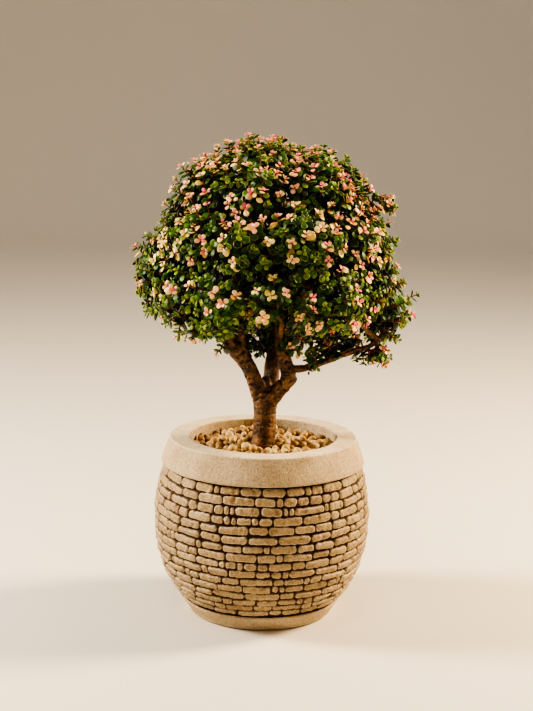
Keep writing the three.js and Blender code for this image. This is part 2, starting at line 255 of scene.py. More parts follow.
# ---------------------------------------------------------------- noise and meshes
def lattice(cell, seed):
    """A repeatable number from 0 to 1 for each whole-number point, from its coordinates times odd factors."""
    n = cell[..., 0] * 73856093 ^ cell[..., 1] * 19349663 ^ cell[..., 2] * 83492791 ^ (seed * 40503 + 977)
    n = (n ^ (n >> 13)) * 1274126177 & 0xFFFFFFFF
    n = (n ^ (n >> 15)) * 2246822519 & 0xFFFFFFFF
    return ((n ^ (n >> 16)) & 0xFFFFFF) / 0xFFFFFF


def noise(points, size, seed):
    """Value noise from -1 to 1 with lumps about size across: smooth blending of random numbers on a lattice."""
    p = np.asarray(points, float) / size
    whole = np.floor(p).astype(np.int64)
    part = p - whole
    part = part * part * (3 - 2 * part)
    total = 0.0
    for corner in np.ndindex(2, 2, 2):
        weight = np.prod(np.where(np.array(corner) == 1, part, 1 - part), axis=-1)
        total = total + weight * lattice(whole + np.array(corner), seed)
    return 2 * total - 1


def unit(v):
    """Vectors brought to length one."""
    return v / np.maximum(np.linalg.norm(v, axis=-1, keepdims=True), 1e-12)


def circle(count):
    """Angles evenly round a circle, and the direction of each in its plane."""
    turn = np.linspace(0, 2 * math.pi, count, endpoint=False)
    return turn, np.stack([np.cos(turn), np.sin(turn)], -1)


def turned(flat, around):
    """Points or vectors given as (radius, height), one of each row for every direction round Z."""
    up = np.broadcast_to(flat[:, None, 1:], (len(flat), len(around), 1))
    return np.concatenate([flat[:, None, :1] * around, up], -1)


def joined(rows):
    """Rows of arrays put together column by column."""
    return [np.concatenate(column) for column in zip(*rows)]


def make_piece(name, points, quads, tris, materials, values=None, material_of=None, places=None):
    """A mesh object from points in millimetres, quad and triangle index arrays, and per-point values.

    places, if given, lays out the corners of all quads and then all triangles on the map for baking.
    """
    quads = np.asarray(quads, np.int32).reshape(-1, 4)
    tris = np.asarray(tris, np.int32).reshape(-1, 3)
    corners = np.concatenate([quads.ravel(), tris.ravel()])
    starts = np.concatenate([np.arange(len(quads)) * 4, 4 * len(quads) + np.arange(len(tris)) * 3])
    mesh = bpy.data.meshes.new(name)
    mesh.vertices.add(len(points))
    mesh.vertices.foreach_set("co", (np.asarray(points, np.float64) * MM).astype(np.float32).ravel())
    mesh.loops.add(len(corners))
    mesh.loops.foreach_set("vertex_index", corners)
    mesh.polygons.add(len(starts))
    mesh.polygons.foreach_set("loop_start", starts.astype(np.int32))
    mesh.polygons.foreach_set("use_smooth", np.ones(len(starts), bool))
    if material_of is not None:
        mesh.polygons.foreach_set("material_index", np.asarray(material_of, np.int32))
    mesh.update(calc_edges=True)
    for key, data in (values or {}).items():
        layer = mesh.attributes.new(key, "FLOAT", "POINT")
        layer.data.foreach_set("value", np.asarray(data, np.float32).ravel())
    if places is not None:
        mesh.uv_layers.new(name="OFBake").data.foreach_set("uv", places.astype(np.float32).ravel())
    for material in materials:
        mesh.materials.append(material)
    mesh.validate()
    piece = bpy.data.objects.new(name, mesh)
    bpy.context.scene.collection.objects.link(piece)
    return piece


def grid_quads(rows, columns, wrap_rows=False):
    """Quads of a grid whose columns close on themselves; with wrap_rows the last row meets the first."""
    row = np.arange(rows if wrap_rows else rows - 1)[:, None]
    column = np.arange(columns)[None, :]
    below, beside = (row + 1) % rows, (column + 1) % columns
    return np.stack([row * columns + column, row * columns + beside,
                     below * columns + beside, below * columns + column], -1).reshape(-1, 4)


def closed_rings(rings, sides):
    """Quads between rings and triangles from the first and last ring to two poles that follow them."""
    around = np.arange(sides)
    beside = (around + 1) % sides
    last = (rings - 1) * sides
    first_pole = np.full(sides, rings * sides)
    tris = np.concatenate([np.column_stack([beside, around, first_pole]),
                           np.column_stack([last + around, last + beside, first_pole + 1])])
    return grid_quads(rings, sides), tris


def repeated(faces, points_each, copies):
    """The faces of one shape repeated for copies of it whose points follow each other."""
    return (faces[None] + (np.arange(copies) * points_each)[:, None, None]).reshape(-1, faces.shape[1])


def cell_places(shapes):
    """Places on the map for baking: each closed shape is unrolled into a square cell of its own.

    Each of shapes is quads, tris, rings, sides and copies. Round a ring runs across the cell, and from pole to
    pole runs up it.
    """
    grid = math.ceil(math.sqrt(sum(shape[4] for shape in shapes)))
    of_quads, of_tris, first = [], [], 0
    for quads, tris, rings, sides, copies in shapes:
        cell = first + np.arange(copies)
        corner = np.stack([cell % grid, cell // grid], -1)[:, None, None]
        for faces, placed in ((quads, of_quads), (tris, of_tris)):
            faces = faces[:len(faces) // copies]
            pole = faces >= rings * sides
            ring = np.where(pole, (faces - rings * sides) * (rings + 1) - 1, faces // sides)
            column = np.where(pole, np.nan, faces % sides)
            wraps = np.nanmax(column, 1, keepdims=True) - np.nanmin(column, 1, keepdims=True) > 1
            column = np.where(wraps & (column == 0), sides, column)
            column = np.where(pole, np.nanmean(column, 1, keepdims=True), column)
            place = np.stack([column / sides, (ring + 1) / (rings + 1)], -1)
            placed.append((corner + 0.08 + 0.84 * place).reshape(-1, 2) / grid)
        first += copies
    return np.concatenate([*of_quads, *of_tris])


def strip_places(quads, rows, columns, strips):
    """Places on the map for baking for a ring of rows: it is cut into strips that lie one above the other."""
    row, column = quads // columns, quads % columns
    long = columns // strips
    strip = column.min(axis=1, keepdims=True) // long
    wraps = np.ptp(column, axis=1)[:, None] > 1
    strip = np.where(wraps, strips - 1, strip)
    column = np.where(wraps & (column == 0), columns, column)
    row = np.where((np.ptp(row, axis=1)[:, None] > 1) & (row == 0), rows, row)
    across = 0.01 + 0.98 * (column - strip * long) / long
    return np.stack([across, (strip + 0.02 + 0.96 * row / rows) / strips], -1)


def settle(piece, nodes):
    """The piece rides on the one body and stands for the frame's nodes, which are hidden."""
    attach(piece, "root")
    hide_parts(*nodes)


# ---------------------------------------------------------------- the pot
STONEWORK_TOP = POT_HEIGHT - RIM_BAND_HEIGHT
STONEWORK_FOOT = FOOT_BAND_HEIGHT + 1.5
BED_DEPTH = 3.2  # from the stones' faces to the joints between them
POT_COLUMNS = 300
PROFILE_STEP = 2.4


def stonework_radius(z):
    """Radius of the stones' faces: a parabola above the belly, and part of an ellipse below it."""
    z = np.asarray(z, float)
    rise = (z - BELLY_HEIGHT) / (STONEWORK_TOP - BELLY_HEIGHT)
    above = BELLY_RADIUS - (BELLY_RADIUS - NECK_RADIUS) * rise ** 2
    fall = np.clip((BELLY_HEIGHT - z) / (BELLY_HEIGHT - STONEWORK_FOOT), 0, 1.1)
    curve = (1 - np.sqrt(1 - (FOOT_TUCK * fall) ** 2)) / (1 - math.sqrt(1 - FOOT_TUCK ** 2))
    below = BELLY_RADIUS - (BELLY_RADIUS - STONEWORK_FOOT_RADIUS) * curve
    return np.where(z >= BELLY_HEIGHT, above, below)


def arc(centre_r, centre_z, radius, start, end, steps):
    """Points (radius, height) of an arc, its angles in degrees."""
    angle = np.radians(np.linspace(start, end, steps + 1))
    return np.column_stack([centre_r + radius * np.cos(angle), centre_z + radius * np.sin(angle)])


def spread(profile, longest):
    """The profile with straight runs divided so that no step is longer than longest."""
    steps = [np.linspace(a, b, max(1, math.ceil(np.linalg.norm(b - a) / longest)), endpoint=False)
             for a, b in zip(profile[:-1], profile[1:])]
    return np.concatenate([*steps, profile[-1:]])


def pot_body(stone):
    """The casting without its stones: a profile turned about Z, closed on the axis inside and underneath.

    Each point moves along the profile's normal by two sizes of noise and by small dents, so that no edge is
    dead true. The underside and what the stones and pebbles hide stay smooth. The rim's top is painted paler,
    as a highlight from the light above, and the bed behind the stones, seen through the joints, is darkest,
    with dirt and painted shade.
    """
    behind = np.linspace(STONEWORK_TOP - 0.5, STONEWORK_FOOT - 0.5, 40)
    bed = np.column_stack([stonework_radius(np.clip(behind, STONEWORK_FOOT, None)) - BED_DEPTH - 1.5, behind])
    inside_z = np.linspace(FLOOR, STONEWORK_TOP, 30)
    widening = np.clip((STONEWORK_TOP - inside_z) / WALL, 0, 1)
    wall = stonework_radius(np.clip(inside_z, STONEWORK_FOOT, None)) - WALL
    inside = np.column_stack([OPENING_RADIUS + np.maximum(wall - OPENING_RADIUS, 0) * widening, inside_z])
    profile = np.concatenate([
        [[0.0, 0.0]],
        arc(BASE_RADIUS - BASE_ROUNDING, BASE_ROUNDING, BASE_ROUNDING, -90, -10, 8),
        arc(FOOT_BAND_RADIUS - FOOT_ROUNDING, FOOT_BAND_HEIGHT - FOOT_ROUNDING, FOOT_ROUNDING, -5, 88, 6),
        bed[::-1],
        arc(RIM_BAND_LOWER_RADIUS - BAND_ROUNDING, STONEWORK_TOP + BAND_ROUNDING, BAND_ROUNDING, -90, 12, 7),
        arc(RIM_RADIUS - RIM_ROUNDING, POT_HEIGHT - RIM_ROUNDING, RIM_ROUNDING, 12, 90, 9),
        arc(OPENING_RADIUS + MOUTH_ROUNDING, POT_HEIGHT - MOUTH_ROUNDING, MOUTH_ROUNDING, 90, 180, 7),
        inside[::-1],
        [[0.0, FLOOR]],
    ])
    profile = spread(profile, PROFILE_STEP)[1:-1]
    rows = len(profile)
    _, around = circle(POT_COLUMNS)
    tangent = np.gradient(profile, axis=0)
    normal = unit(np.column_stack([tangent[:, 1], -tangent[:, 0]]))
    points, outward = turned(profile, around), turned(normal, around)
    above_base = np.clip((points[..., 2:] - 1) / 4, 0, 1)
    radius, z = profile.T
    hidden = (radius < OPENING_RADIUS - 0.1) | (z < PEBBLE_BASE - 4.3) & (radius < radius.max() - 20)
    dents = 0.25 * np.clip(noise(points, 3.2, 3) - 0.45, 0, 1)
    amount = 0.35 * noise(points, 24, 1) + 0.16 * noise(points, 6, 2) - dents
    points = points + outward * amount[..., None] * above_base * ~hidden[:, None, None]
    points = np.concatenate([points.reshape(-1, 3), [[0, 0, 0], [0, 0, FLOOR]]])
    quads, tris = closed_rings(rows, POT_COLUMNS)
    # painted highlight: the rim's top gets a paler relief and a lower tone; painted shade: the bed gets relief 0
    rim_top_highlight = points[:, 2] > POT_HEIGHT - 1
    in_bed = (points[:, 2] < STONEWORK_TOP + 0.5) & (points[:, 2] > FOOT_BAND_HEIGHT - 0.5)
    in_bed &= np.hypot(points[:, 0], points[:, 1]) > OPENING_RADIUS + 1
    relief = np.where(in_bed, 0.0, np.where(rim_top_highlight, 0.86, 0.95))
    tone = 0.12 + 0.04 * noise(points, 40, 4) - 0.08 * rim_top_highlight
    return make_piece("pot_casting", points, quads, tris, [stone], {"relief": relief, "tone": tone})


STONE_COLUMNS = 744
COURSE_ROWS = np.array([-1, -0.91, -0.8, -0.66, -0.46, -0.17, 0.17, 0.46, 0.66, 0.8, 0.91])
JOINT = 0.7  # width of the joint between two stones
STONE_ROUNDING = 2.2  # how far in from its edge a stone reaches its full height


def course_lines():
    """Where the lines between courses lie, as lengths down the belly: steps that shrink downwards.

    Also returns heights down the belly, and the length from its top to each.
    """
    z = np.linspace(STONEWORK_TOP, STONEWORK_FOOT, 2000)
    step = np.hypot(np.diff(z), np.diff(stonework_radius(z)))
    length = np.concatenate([[0], np.cumsum(step)])
    pitch = np.linspace(1.08, 0.92, COURSES)
    line = np.concatenate([[0], np.cumsum(pitch)]) / pitch.sum() * length[-1]
    return line, z, length


def lay_course(rng, girth):
    """Start of each stone round a course of that girth: long, middling and short stones, and thin fillers."""
    kinds = rng.choice(4, 80, p=[0.38, 0.32, 0.16, 0.14])
    lengths = np.array([28.0, 21.0, 12.5, 6.4])[kinds] * rng.uniform(0.84, 1.18, 80)
    ends = np.cumsum(lengths)
    count = int(np.searchsorted(ends, girth))
    return np.concatenate([[0], ends[:count]]) * girth / ends[count - 1]


def stonework(stone):
    """The courses of stones, in two rings that meet in a joint.

    A point at turn t and course height v belongs to one stone. Its depth d inside that stone's rounded
    outline sets how far it stands out of the bed: a quarter round of the stone's own height over the
    first few millimetres, then an almost flat face, with chips and pits cut by noise.
    """
    rng = np.random.default_rng(SEED)
    line, z_of, length_of = course_lines()
    slope = np.gradient(stonework_radius(z_of), z_of)
    turn, around = circle(STONE_COLUMNS)
    ring = np.column_stack([around * 90, np.zeros(STONE_COLUMNS)])
    levels = [ring + [0, 0, 40 * k] for k in range(COURSES + 1)]
    sway = np.stack([0.75 * noise(level, 34, 11) + 0.35 * noise(level, 12, 12) for level in levels])
    sway[[0, -1]] *= 0.2
    lines = line[:, None] + sway
    rows, reliefs, tones = [], [], []
    for course in range(COURSES):
        upper, lower = lines[course], lines[course + 1]
        middle = np.interp((line[course] + line[course + 1]) / 2, length_of, z_of)
        girth = 2 * math.pi * float(stonework_radius(middle))
        edges = lay_course(rng, girth)
        count = len(edges) - 1
        shift = rng.uniform(0, girth)
        along = (turn / (2 * math.pi) * girth + shift) % girth
        which = np.clip(np.searchsorted(edges, along, side="right") - 1, 0, count - 1)
        length = np.diff(edges)[which]
        stand = rng.uniform(0.66, 1.1, count)[which]
        drop = rng.uniform(-0.5, 0.5, count)[which]
        thin = rng.uniform(0.0, 1.4, count)[which] * (rng.random(count) < 0.55)[which]
        tilt = rng.normal(0, 0.022, count)[which]
        square = rng.uniform(0.5, 1.0, count)[which]
        shade = np.clip(rng.normal(0.42, 0.22, count), 0.2, 1)[which]
        x = along - edges[which] - length / 2
        half_l = length / 2 - JOINT / 2
        half_h = (lower - upper) / 2 - JOINT / 2 - thin / 2
        corner = square * np.minimum(half_h, half_l)
        for v in COURSE_ROWS:
            s = (upper + lower) / 2 + v * (lower - upper) / 2
            y = v * (lower - upper) / 2 - drop * (1 - v * v) - tilt * x
            out_x = np.maximum(np.abs(x) - (half_l - corner), 0)
            out_y = np.maximum(np.abs(y) - (half_h - corner), 0)
            inside = corner - np.hypot(out_x, out_y)
            deep = np.minimum(half_l - np.abs(x), half_h - np.abs(y))
            inside = np.where((out_x > 0) & (out_y > 0), inside, np.minimum(deep, np.maximum(inside, deep)))
            z = np.interp(s, length_of, z_of)
            place = np.column_stack([stonework_radius(z)[:, None] * around, z])
            inside = inside + 0.5 * noise(place, 3.6, 21) + 0.36 * noise(place, 1.8, 22)
            q = np.clip(inside / STONE_ROUNDING, 0, 1)
            height = np.sqrt(1 - (1 - q) ** 2)
            crown = 0.45 * (1 - (np.abs(y) / np.maximum(half_h, 1)) ** 2)
            rough = 0.4 * noise(place, 5, 23) + 0.36 * noise(place, 2.1, 24)
            chips = 3.0 * np.clip(noise(place, 6.5, 26) - 0.5, 0, 1)
            wear = -1.9 * np.clip(noise(place, 2.6, 25) - 0.36, 0, 1) - chips
            face = BED_DEPTH * stand + crown + rough + wear
            lift = height * face + (1 - height) * 0.3 * noise(place, 2.5, 27)
            outward = unit(np.column_stack([around, -np.interp(s, length_of, slope)]))
            rows.append(place + outward * (lift - BED_DEPTH)[:, None])
            # painted shade: relief follows the stone's height, so the colour darkens down its rounded sides into
            # the joints
            reliefs.append(np.clip(height * 1.02, 0, 1))
            tones.append(shade)
    middle_row = COURSES // 2 * len(COURSE_ROWS)
    pieces = []
    for name, first, last in (("upper", 0, middle_row), ("lower", middle_row, len(rows) - 1)):
        face = np.stack(rows[first:last + 1])
        ends = face[[-1, 0]]
        inner = np.linalg.norm(ends[..., :2], axis=-1) - 4
        back = np.concatenate([inner[..., None] * around, ends[..., 2:]], -1)
        points = np.concatenate([face, back])
        relief, tone = (np.concatenate([np.stack(values[first:last + 1]), np.zeros((2, STONE_COLUMNS))])
                        for values in (reliefs, tones))
        quads = grid_quads(len(points), STONE_COLUMNS, wrap_rows=True)[:, ::-1]
        pieces.append(make_piece("pot_stonework_" + name, points.reshape(-1, 3), quads, [], [stone],
                                 {"relief": relief, "tone": tone},
                                 places=strip_places(quads, len(points), STONE_COLUMNS, 4)))
    return pieces


# ---------------------------------------------------------------- pebbles
PEBBLE_DROPS = 590
PEBBLE_TRIES = 90  # how many places each pebble tries
PEBBLE_RINGS, PEBBLE_SIDES = 6, 10


def ball(rings, sides):
    """A unit ball as rings between two poles: its points, and the quads and triangles that close it."""
    lean = np.linspace(0, math.pi, rings + 2)[1:-1]
    ring = turned(np.column_stack([np.sin(lean), np.cos(lean)]), circle(sides)[1]).reshape(-1, 3)
    return np.concatenate([ring, [[0, 0, 1], [0, 0, -1]]]), *closed_rings(rings, sides)


def drop_pebbles(rng):
    """Where pebbles come to rest: each tries many places and takes the lowest that it finds on those before.

    Close to the trunk, and towards the back, places count as lower than they are, so that the pebbles heap up
    a little there. Pebbles that end up above the heap are left out.
    """
    def heap(x_y):
        away = np.linalg.norm(x_y, axis=1)
        return 4 * np.exp(-((away - TRUNK_CLEAR) / 16) ** 2) + 0.035 * x_y[:, 1]

    size = rng.uniform(3.2, 5.2, PEBBLE_DROPS)
    centres = np.zeros((0, 3))
    for i, radius in enumerate(size):
        nearest, furthest = TRUNK_CLEAR + radius, OPENING_RADIUS - 0.8 - radius
        away = np.sqrt(rng.uniform(nearest ** 2, furthest ** 2, PEBBLE_TRIES))
        turn = rng.uniform(0, 2 * math.pi, PEBBLE_TRIES)
        tries = np.column_stack([away * np.cos(turn), away * np.sin(turn)])
        across = np.linalg.norm(tries[:, None] - centres[None, :, :2], axis=-1)
        reach = 0.9 * (radius + size[None, :i])
        touch = np.sqrt(np.clip(reach ** 2 - across ** 2, 0, None))
        rest = np.where(across < reach, centres[None, :, 2] + touch, 0)
        rest = np.maximum(rest.max(axis=1, initial=0), PEBBLE_BASE + radius * 0.8)
        lowest = int((rest - heap(tries)).argmin())
        centres = np.concatenate([centres, [[*tries[lowest], rest[lowest]]]])
    settled = centres[:, 2] + 0.8 * size < PEBBLE_TOP + 3.5 + heap(centres[:, :2])
    return centres[settled], size[settled]


def pebbles(stone_skin):
    """The top dressing: balls squashed on three axes, turned at random and dented by noise."""
    rng = np.random.default_rng(SEED + 1)
    centres, size = drop_pebbles(rng)
    count = len(centres)
    points, quads, tris = ball(PEBBLE_RINGS, PEBBLE_SIDES)
    squash = rng.uniform([1.0, 0.85, 0.68], [1.3, 1.05, 0.95], (count, 3))
    first = unit(rng.normal(size=(count, 3)) * [1, 1, 0.45])
    second = unit(np.cross(first, rng.normal(size=(count, 3))))
    axes = np.stack([first, second, np.cross(first, second)], 1)
    shaped = points[None] * squash[:, None] * size[:, None, None]
    dent = 1 + 0.15 * noise(points[None] * 3 + centres[:, None] * 7, 2.6, 31)
    placed = centres[:, None] + np.einsum("nij,njk->nik", shaped * dent[..., None], axes)
    tone = np.repeat(rng.uniform(0, 1, count), len(points))
    quads, tris = repeated(quads, len(points), count), repeated(tris, len(points), count)
    return make_piece("pebbles", placed.reshape(-1, 3), quads, tris, [stone_skin], {"tone": tone},
                      places=cell_places([(quads, tris, PEBBLE_RINGS, PEBBLE_SIDES, count)]))


# ---------------------------------------------------------------- trunk, limbs and branchlets
TRUNK_RADIUS = 11
LIMB_RADIUS = 6.75
LOW_BRANCH_RADIUS = 3.25
TRUNK_CLEAR = 11.5
ROOT_TOP = 155
ROOT_END = 109
ROOT_SPREAD = 46
TRUNK = ([[0, 0, ROOT_END + 12], [0, 0, ROOT_TOP], [1, 0, (PEBBLE_TOP + FORK) / 2], [1, 0, FORK + 3]],
         [0.9, 1.12, 1.12, 1.05, 1.04, 1.15], TRUNK_RADIUS)
BACK_LIMB = ([[4, 3, FORK - 5], [8, 12, FORK + 24], [9, 22, FORK + 56], [6, 32, FORK + 96],
              [4, 34, FORK + 150]], [1.3, 1.14, 0.9, 0.64, 0.42], LIMB_RADIUS)
RIGHT_LIMB = ([[6, -2, FORK - 7], [15, -5, FORK + 6], [24, -7, FORK + 19], [19, -6, FORK + 42],
               [16, -4, FORK + 84], [20, -4, FORK + 130], [10, -2, FORK + 176]],
              [1.15, 1.12, 1.04, 0.92, 0.72, 0.55, 0.36], LIMB_RADIUS)
LEFT_LIMB = ([[-3, -1, FORK - 6], [-8.5, -4, FORK + 12], [-18, -8, FORK + 32], [-32.5, -12, FORK + 51],
              [-38, -13, FORK + 74], [-36, -12, FORK + 130]], [1.3, 1.2, 1.14, 0.87, 0.67, 0.42], LIMB_RADIUS)
LEFT_FORK = ([[-18, -8, FORK + 30], [-22, -9, FORK + 42], [-24, -10, FORK + 66], [-22, -9, FORK + 92]],
             [0.8, 0.72, 0.6, 0.4], LIMB_RADIUS)
CROTCH = ([[2, 2, FORK - 4], [2, 3, FORK + 8], [3, 5, FORK + 16]], [1.35, 1.25, 0.8], LIMB_RADIUS)
STUB = ([[24, -7, FORK + 14], [27, -8, FORK + 16], [30, -9, FORK + 20]], [0.8, 0.72, 0.6], LIMB_RADIUS)
LOW_BRANCH = ([[22, -7, FORK + 27], [42, -10, FORK + 30], [70, -13, FORK + 41], [88, -14, FORK + 48],
               [104, -14, FORK + 54], [118, -12, FORK + 68], [128, -10, FORK + 82]],
              [1.25, 1.15, 1.05, 0.92, 0.76, 0.58], LOW_BRANCH_RADIUS)


def root(turn):
    """One root: out from under the trunk and down into the mix."""
    cos, sin = math.cos(turn), math.sin(turn)
    return ([[3 * cos, 3 * sin, ROOT_TOP - 8], [ROOT_SPREAD / 2 * cos, ROOT_SPREAD / 2 * sin, ROOT_TOP - 18],
             [ROOT_SPREAD * cos, ROOT_SPREAD * sin, ROOT_END]], [7, 5, 2.5], 1)


ROOTS = [root((k + 0.2 * math.sin(k * 5)) / 5 * 2 * math.pi) for k in range(5)]
BEARERS = (BACK_LIMB, RIGHT_LIMB, LEFT_LIMB, LOW_BRANCH)  # the stems that sprays and sprigs grow from
STEM_STEP = 3


def smooth(points, count):
    """A curve through the points: between two of them a cubic whose end slopes follow their neighbours."""
    p = np.asarray(points, float)
    p = np.concatenate([[2 * p[0] - p[1]], p, [2 * p[-1] - p[-2]]])
    at = np.linspace(0, len(p) - 3, count)
    i = np.minimum(at.astype(int), len(p) - 4)
    t = (at - i)[:, None]
    a, b, c, d = p[i], p[i + 1], p[i + 2], p[i + 3]
    return 0.5 * (2 * b + (c - a) * t + (2 * a - 5 * b + 4 * c - d) * t ** 2 + (3 * b - a - 3 * c + d) * t ** 3)


def even(curve, count):
    """The curve's points spaced evenly along it."""
    length = np.concatenate([[0], np.cumsum(np.linalg.norm(np.diff(curve, axis=0), axis=1))])
    at = np.linspace(0, length[-1], count)
    return np.column_stack([np.interp(at, length, curve[:, k]) for k in range(3)])


def arch(start, bend, end, t):
    """Points along curves that leave start towards bend and reach end from it, t of the way from 0 to 1."""
    return (1 - t) ** 2 * start + 2 * t * (1 - t) * bend + t ** 2 * end


def stem_line(stem):
    """A stem's centre line in short steps, with its radius there."""
    points, shares, radius = stem
    curve = smooth(points, 200)
    length = np.linalg.norm(np.diff(curve, axis=0), axis=1).sum()
    curve = even(curve, max(4, math.ceil(length / STEM_STEP)))
    return curve, np.interp(np.linspace(0, 1, len(curve)), np.linspace(0, 1, len(shares)), shares) * radius


def tubes(curves, radii, sides):
    """Round stems along n curves of m points: rings square to each curve, and a pole on each end.

    A ring's two axes are the curve's direction crossed with the axis that it follows least, and that
    crossed with the direction again, so that no ring turns against the next.
    """
    n, m = curves.shape[:2]
    along = unit(np.gradient(curves, axis=1))
    least = np.eye(3)[np.abs(along.mean(axis=1)).argmin(axis=1)][:, None]
    side = unit(np.cross(along, least))
    up = np.cross(side, along)
    _, around = circle(sides)
    ring = around[:, :1] * side[:, :, None] - around[:, 1:] * up[:, :, None]
    rings = curves[:, :, None] + ring * radii[:, :, None, None]
    ends = curves[:, [0, -1]] + along[:, [0, -1]] * radii[:, [0, -1], None] * [[[-0.3], [0.3]]]
    points = np.concatenate([rings.reshape(n, m * sides, 3), ends], axis=1)
    quads, tris = closed_rings(m, sides)
    each = m * sides + 2
    return points.reshape(-1, 3), repeated(quads[:, ::-1], each, n), repeated(tris[:, ::-1], each, n)


WOOD_VOXEL = 0.85  # the grid on which the stems are joined
RING_SPACING = 4.6  # between two wrinkles


def joined_skin(rough):
    """One closed skin round everything in a mesh, on a fine grid: its points, faces and normals."""
    shrink = rough.modifiers.new("skin", "REMESH")
    shrink.mode = "VOXEL"
    shrink.voxel_size = WOOD_VOXEL * MM
    graph = bpy.context.evaluated_depsgraph_get()
    mesh = bpy.data.meshes.new_from_object(rough.evaluated_get(graph))
    points, normals = np.zeros((2, len(mesh.vertices) * 3))
    mesh.vertices.foreach_get("co", points)
    mesh.vertex_normals.foreach_get("vector", normals)
    corners = np.zeros(len(mesh.loops), np.int32)
    mesh.loops.foreach_get("vertex_index", corners)
    bpy.data.objects.remove(rough)
    return points.reshape(-1, 3) / MM, corners.reshape(-1, 4), normals.reshape(-1, 3)


def nearest_on(points, line, radius):
    """For each point, which point of the line (of that radius) its skin is nearest to."""
    return np.concatenate([(np.linalg.norm(part[:, None] - line, axis=-1) - radius).argmin(axis=1)
                           for part in np.array_split(points, math.ceil(len(points) / 4000))])


def trunk_and_limbs(bark):
    """The old wood as one skin, wrinkled in rings about each stem.

    A point's distance along its stem, pushed about by noise, sets its place between two wrinkles; each
    wrinkle is a narrow crease, deeper in some patches than in others. Swellings and fine grain are noise.
    The trunk below the fork is calmer than the limbs. The wrinkles and scars are painted darker as shade,
    and the swellings paler as a highlight.
    """
    shapes, lines, count = [], [], 0
    for stem in (TRUNK, BACK_LIMB, RIGHT_LIMB, LEFT_LIMB, LEFT_FORK, CROTCH, STUB, LOW_BRANCH, *ROOTS):
        line, radius = stem_line(stem)
        sway = 0.5 * np.column_stack([noise(line + [9 * k, 0, 0], 14, 40 + k) for k in range(3)])
        points, quads, tris = tubes((line + sway)[None], radius[None], 24)
        shapes.append((points, quads + count, tris + count))
        lines.append((line, radius, STEM_STEP * np.arange(len(line))))
        count += len(points)
    points, quads, normals = joined_skin(make_piece("wood", *joined(shapes), []))
    line, radius, run = joined(lines)
    near = nearest_on(points, line, radius)
    thick = np.clip(radius[near] / LIMB_RADIUS, 0.35, 1.2)
    phase = run[near] / (RING_SPACING * thick) + 0.6 * noise(points, 11, 51) + 0.3 * noise(points, 4, 52)
    between = np.clip((-np.cos(2 * math.pi * phase) - 0.45) / 0.55, 0, 1) ** 1.5
    patch = np.clip(0.8 + 0.7 * noise(points, 13, 53), 0.3, 1)
    scar = np.clip((noise(points, 5.5, 54) - 0.52) * 3, 0, 1)
    swelling = 0.75 * noise(points * [1, 1, 0.6], 10, 55)
    calm = np.clip((FORK - 2 - points[:, 2]) / 14, 0, 1)
    lift = swelling + 0.3 * noise(points, 3.4, 56) + 0.14 * noise(points, 1.5, 57)
    lift = (lift - between * patch - 0.9 * scar) * (1 - 0.55 * calm)
    points = points + normals * (lift * thick)[:, None]
    # painted shade in the wrinkles and scars
    crease_shade = np.clip(between * patch * 0.9 + scar * 0.8, 0, 1) * (1 - 0.4 * calm)
    # painted highlight where the skin swells out
    ridge_highlight = np.clip(1.6 * lift / 0.75 - 0.3, 0, 1)
    return make_piece("trunk_and_limbs", points, quads, [], [bark], {"crease_shade": crease_shade, "ridge_highlight": ridge_highlight})


BRANCHLET_RADIUS = 2.5
BRANCHLET_RINGS, BRANCHLET_SIDES = 14, 8


def branchlets(bark, centres):
    """Stems from the limbs to the middle of each spray: each leaves its limb lower down and bends up."""
    stations = np.concatenate([line[len(line) // 4:] for line, _ in map(stem_line, BEARERS)])
    across = np.linalg.norm(centres[:, None, :2] - stations[None, :, :2], axis=-1)
    miss = np.abs(stations[None, :, 2] + 14 + 0.5 * across - centres[:, None, 2]) + 0.5 * across
    start = stations[miss.argmin(axis=1)]
    bend = start + (centres - start) * [0.55, 0.55, 0.42]
    t = np.linspace(0, 1, BRANCHLET_RINGS)[None, :, None]
    curves = arch(start[:, None], bend[:, None], centres[:, None], t)
    sway = np.stack([noise(curves + 7 * k, 15, 60 + k) for k in range(3)], -1)
    curves = curves + 2.2 * sway * np.sin(math.pi * t)
    radii = np.broadcast_to(BRANCHLET_RADIUS * (1 - 0.45 * t[..., 0]), curves.shape[:2])
    points, quads, tris = tubes(curves, radii, BRANCHLET_SIDES)
    # painted shade of creases: darker streaks from noise on the smooth stems
    crease_shade = np.clip(noise(points * [1, 1, 1.6], 2.6, 63), 0, 1) * 0.6
    return make_piece("branchlets", points, quads, tris, [bark], {"crease_shade": crease_shade, "ridge_highlight": 0 * crease_shade},
                      places=cell_places([(quads, tris, BRANCHLET_RINGS, BRANCHLET_SIDES, len(centres))]))


# ---------------------------------------------------------------- foliage
# A leaf's outline: where its rings stand along it, their half width and fullness, and points round a ring.
FINE_LEAF = (np.array([0.07, 0.27, 0.55, 0.8, 0.95]), np.array([0.13, 0.34, 0.5, 0.43, 0.22]),
             np.array([0.6, 0.85, 1.0, 0.85, 0.45]), 8)
SHADED_LEAF = (np.array([0.1, 0.5, 0.86]), np.array([0.18, 0.5, 0.36]), np.array([0.7, 1.0, 0.7]), 6)


def leaf_shape(outline):
    """A jade leaf one unit long and one wide along +X, its upper face up: rings round its length, and poles.

    Width follows an egg outline, broadest past the middle; the section is a lens, flatter above than below.
    Returns points, quads, tris, and margin (0 in the middle to 1 at the rim).
    """
    along, half_width, fullness, sides = outline
    cos, sin = circle(sides)[1].T
    height = np.where(sin > 0, 0.38, 0.62) * sin
    ring = np.stack(np.broadcast_arrays(along[:, None], half_width[:, None] * cos,
                                        fullness[:, None] * height), -1)
    points = np.concatenate([ring.reshape(-1, 3), [[0, 0, 0], [1, 0, 0]]])
    tip = np.clip((along - 0.7) * 3.2, 0, 1)
    edge = np.maximum(np.abs(cos) ** 3, tip[:, None])
    return points, *closed_rings(len(along), sides), np.append(edge.ravel(), [0.3, 1.0])


